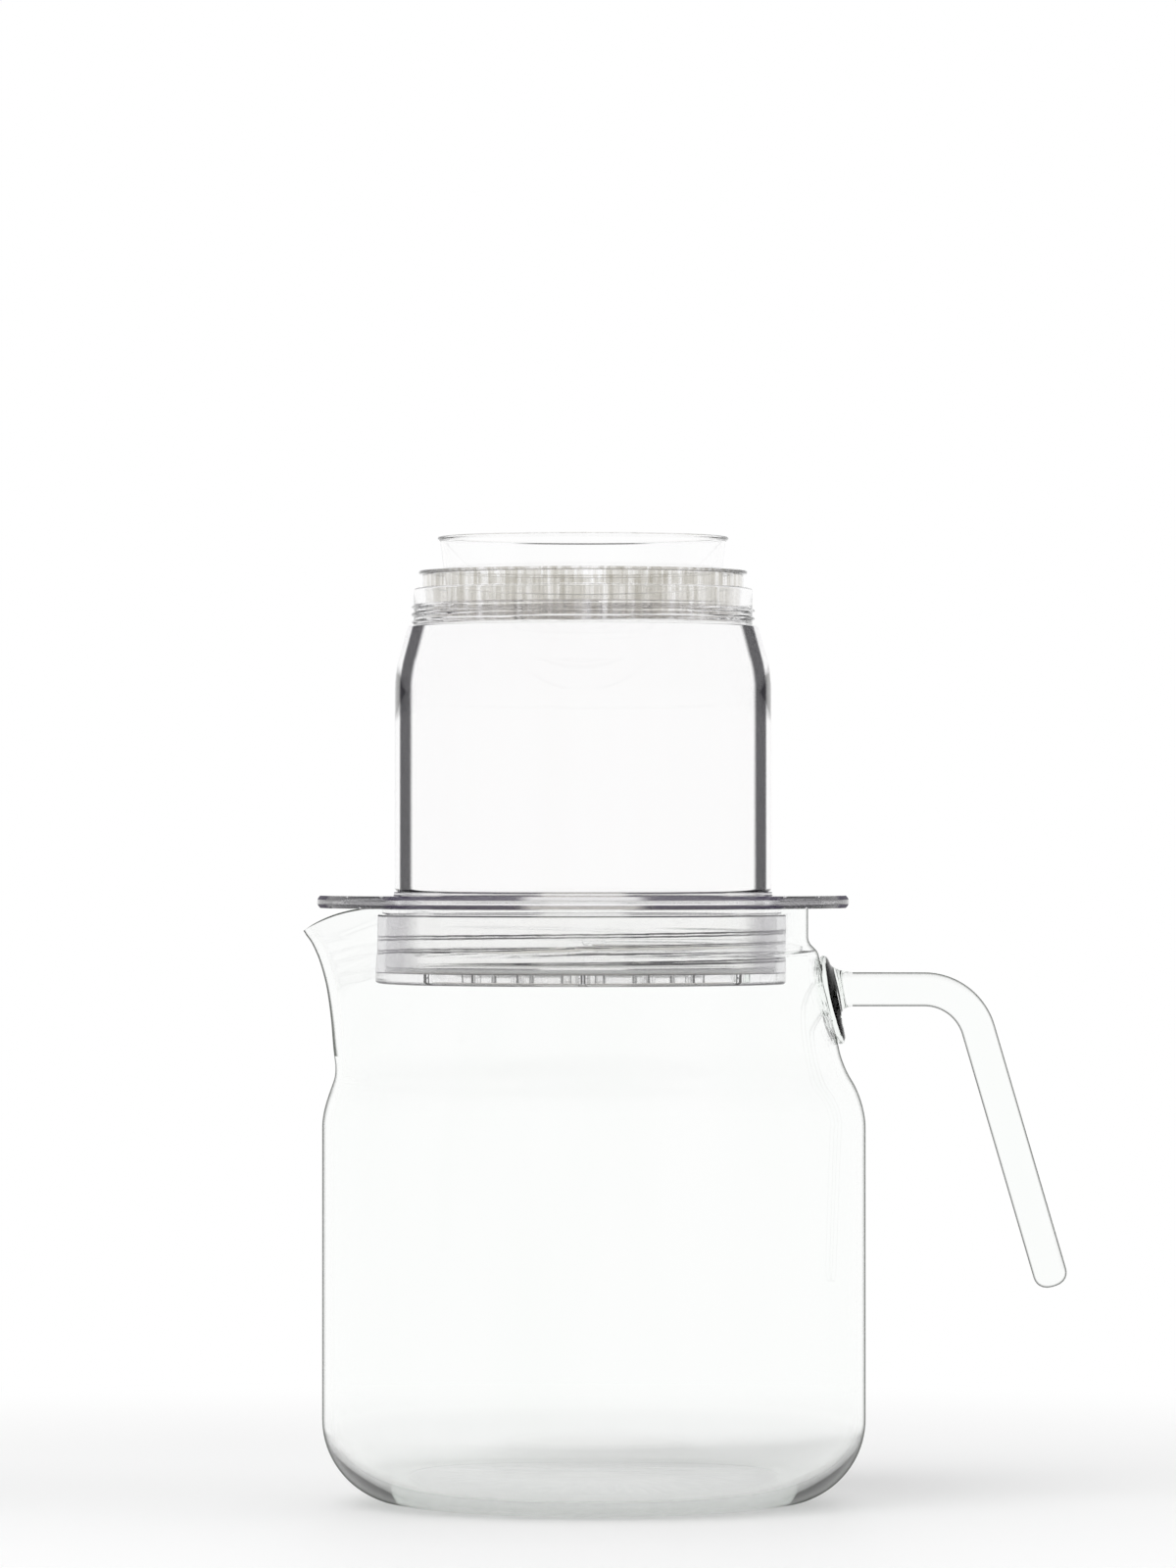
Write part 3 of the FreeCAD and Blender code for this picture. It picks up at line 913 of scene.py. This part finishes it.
def makeDrain(s):
    bm = bmesh.new()
    sector = 2 * math.pi / s["spokes"]
    flat = s["radius"] - s["corner"]
    slotEdges = [radius for slot in s["slots"] for radius in slot]
    rounded = [flat + s["corner"] * math.sin(math.pi / 2 * k / s["cornerSteps"])
               for k in range(s["cornerSteps"] + 1)]
    drawOutline(bm, [(radius, s["top"], 0) for radius in [s["hole"]] + slotEdges + rounded])
    bmesh.ops.spin(bm, geom=bm.verts[:] + bm.edges[:], cent=(0, 0, 0), axis=(0, 0, 1),
                   angle=2 * math.pi, steps=s["spokes"] * s["sectorSteps"], use_merge=True)
    openSlots(bm, s, sector)
    evenSpokes(bm, s, sector)
    bmesh.ops.recalc_face_normals(bm, faces=bm.faces)
    if bm.faces[:][0].normal.z < 0:
        bmesh.ops.reverse_faces(bm, faces=bm.faces)
    made = bmesh.ops.extrude_face_region(bm, geom=bm.faces[:])["geom"]
    for vert in [g for g in made if isinstance(g, bmesh.types.BMVert)]:
        radius = math.hypot(vert.co.x, vert.co.y)
        out = max(0.0, radius - flat) / s["corner"]
        vert.co.z = s["bottom"] + s["corner"] * (1 - math.sqrt(max(0.0, 1 - out * out)))
    bmesh.ops.remove_doubles(bm, verts=bm.verts, dist=mergeGap)
    bmesh.ops.recalc_face_normals(bm, faces=bm.faces)
    sharp = [e for e in bm.edges if e.calc_face_angle(0) > s["sharpAngle"] and
             max(math.hypot(v.co.x, v.co.y) for v in e.verts) < flat - near]
    bmesh.ops.bevel(bm, geom=sharp, offset=s["edgeRound"], offset_type="OFFSET", segments=s["edgeSteps"],
                    profile=0.5, affect="EDGES", clamp_overlap=True, material=-1)
    bmesh.ops.translate(bm, vec=(dripperX, 0, 0), verts=bm.verts)
    finishPiece(bm, "drainFloor", drainPlastic, "collar", "clear_plastic", "drain_floor")


# Filter disc on the drain floor

disc = {
    "outline": [(0, 112.53, 0), (40.5, 112.53, 0.1), (40.5, 112.78, 0.1), (0, 112.78, 0)],
    "step": 4.0,
    "sides": 160,
}


def makeFilter(s):
    bm = bmesh.new()
    drawOutline(bm, s["outline"])
    for edge in bm.edges[:]:
        bmesh.ops.subdivide_edges(bm, edges=[edge], cuts=int(edge.calc_length() / s["step"]))
    spinOutline(bm, dripperX, s["sides"])
    finishPiece(bm, "filterDisc", filterPaper, "collar", "filter_paper", "filter_disc")


# Seal ring between the filter disc and the chamber's foot

seal = {
    "outline": [(37.2, 112.83, 0.3), (40.9, 112.83, 0.3), (40.9, 113.57, 0.3), (37.2, 113.57, 0.3)],
    "sides": 192,
}


def makeSeal(s):
    bm = bmesh.new()
    drawOutline(bm, s["outline"], True)
    spinOutline(bm, dripperX, s["sides"])
    finishPiece(bm, "sealRing", milkySilicone, "seal", "silicone", "base_seal")


# Head ring in the chamber's neck

headRing = {
    "outline": [
        (32.13, 187.1, 0.2), (33.5, 187.1, 0.3), (33.5, 194.35, 0.15), (34.1, 194.35, 0.2),
        (34.1, 197.3, 0.2), (34.9, 197.3, 0.25), (34.9, 198.0, 0.25), (32.13, 198.0, 0.5),
    ],
}


def makeHeadRing(s):
    bm = bmesh.new()
    drawOutline(bm, s["outline"], True)
    spinOutline(bm, dripperX)
    finishPiece(bm, "headRing", streakedPlastic, "head", "clear_plastic", "head_ring")


# Drip plate with its holes on a six-sided grid

plate = {
    "radius": 32.1,
    "sides": 256,
    "top": 190.8,
    "bottom": 187.1,
    "holeRadius": 0.9,
    "holePitch": 7.9,
    "holeRings": 3,
    "holeSides": 32,
    "drillLength": 8.0,
}


def makeDrills(s):
    # one cutter that holds a straight drill for each hole
    bm = bmesh.new()
    for row in range(-s["holeRings"], s["holeRings"] + 1):
        count = 2 * s["holeRings"] + 1 - abs(row)
        for index in range(count):
            x = dripperX + s["holePitch"] * (index - (count - 1) / 2)
            y = row * s["holePitch"] * math.sqrt(3) / 2
            place = Matrix.Translation((x, y, (s["top"] + s["bottom"]) / 2))
            bmesh.ops.create_cone(bm, cap_ends=True, segments=s["holeSides"], radius1=s["holeRadius"],
                                  radius2=s["holeRadius"], depth=s["drillLength"], matrix=place)
    bmesh.ops.scale(bm, vec=(mm, mm, mm), verts=bm.verts)
    mesh = bpy.data.meshes.new("drills")
    bm.to_mesh(mesh)
    bm.free()
    drills = bpy.data.objects.new("drills", mesh)
    scene.collection.objects.link(drills)
    return drills


def makePlate(s):
    bm = bmesh.new()
    bmesh.ops.create_circle(bm, cap_ends=True, radius=s["radius"], segments=s["sides"])
    bmesh.ops.translate(bm, vec=(0, 0, s["top"]), verts=bm.verts)
    made = bmesh.ops.extrude_face_region(bm, geom=bm.faces[:])["geom"]
    bmesh.ops.translate(bm, vec=(0, 0, s["bottom"] - s["top"]),
                        verts=[g for g in made if isinstance(g, bmesh.types.BMVert)])
    bmesh.ops.recalc_face_normals(bm, faces=bm.faces)
    bmesh.ops.translate(bm, vec=(dripperX, 0, 0), verts=bm.verts)
    drills = makeDrills(s)
    piece = finishPiece(bm, "dripPlate", mouldedPlastic, "head", "clear_plastic", "drip_plate")
    # the holes come before the even shading, and the drilled mesh replaces the plain one
    holes = piece.modifiers.new("holes", "BOOLEAN")
    holes.object, holes.operation, holes.solver = drills, "DIFFERENCE", "EXACT"
    piece.modifiers.move(1, 0)
    graph = bpy.context.evaluated_depsgraph_get()
    drilled = bpy.data.meshes.new_from_object(piece.evaluated_get(graph))
    piece.modifiers.remove(holes)
    piece.data = drilled
    bpy.data.objects.remove(drills)


# Thin flared cup that stands on the drip plate

cup = {
    "outline": [
        (27.8, 190.22, 0), (28.7, 190.22, 0), (28.7, 190.85, 0), (30.4, 204.35, 0.4), (30.9, 204.75, 0.15),
        (30.9, 205.2, 0.2), (29.75, 205.2, 0.3), (27.8, 190.85, 0),
    ],
}


def makeCup(s):
    bm = bmesh.new()
    drawOutline(bm, s["outline"], True)
    spinOutline(bm, dripperX)
    finishPiece(bm, "chimneyCup", thinPlastic, "head", "thin_clear_plastic", "chimney_cup")


makeCamera(cameraSettings)
makeWorld(studio)
makeLamp("topLamp", studio["topLamp"], studio["lampTarget"])
makeLamp("sideLamp", studio["sideLamp"], studio["lampTarget"])
makeFloor(paleFloor)
print("camera and studio made")

makeServer(server)
makeHandle(handle)
makeFlange(flange)
makeChamber(chamber)
makeCollar(collar)
makeDrain(drain)
makeFilter(disc)
makeSeal(seal)
makeHeadRing(headRing)
makePlate(plate)
makeCup(cup)

# Paths through many clear walls need more bounces than usual
scene.cycles.max_bounces = 32
scene.cycles.transmission_bounces = 32
scene.cycles.glossy_bounces = 12
scene.cycles.transparent_max_bounces = 32
scene.view_settings.view_transform = "Standard"
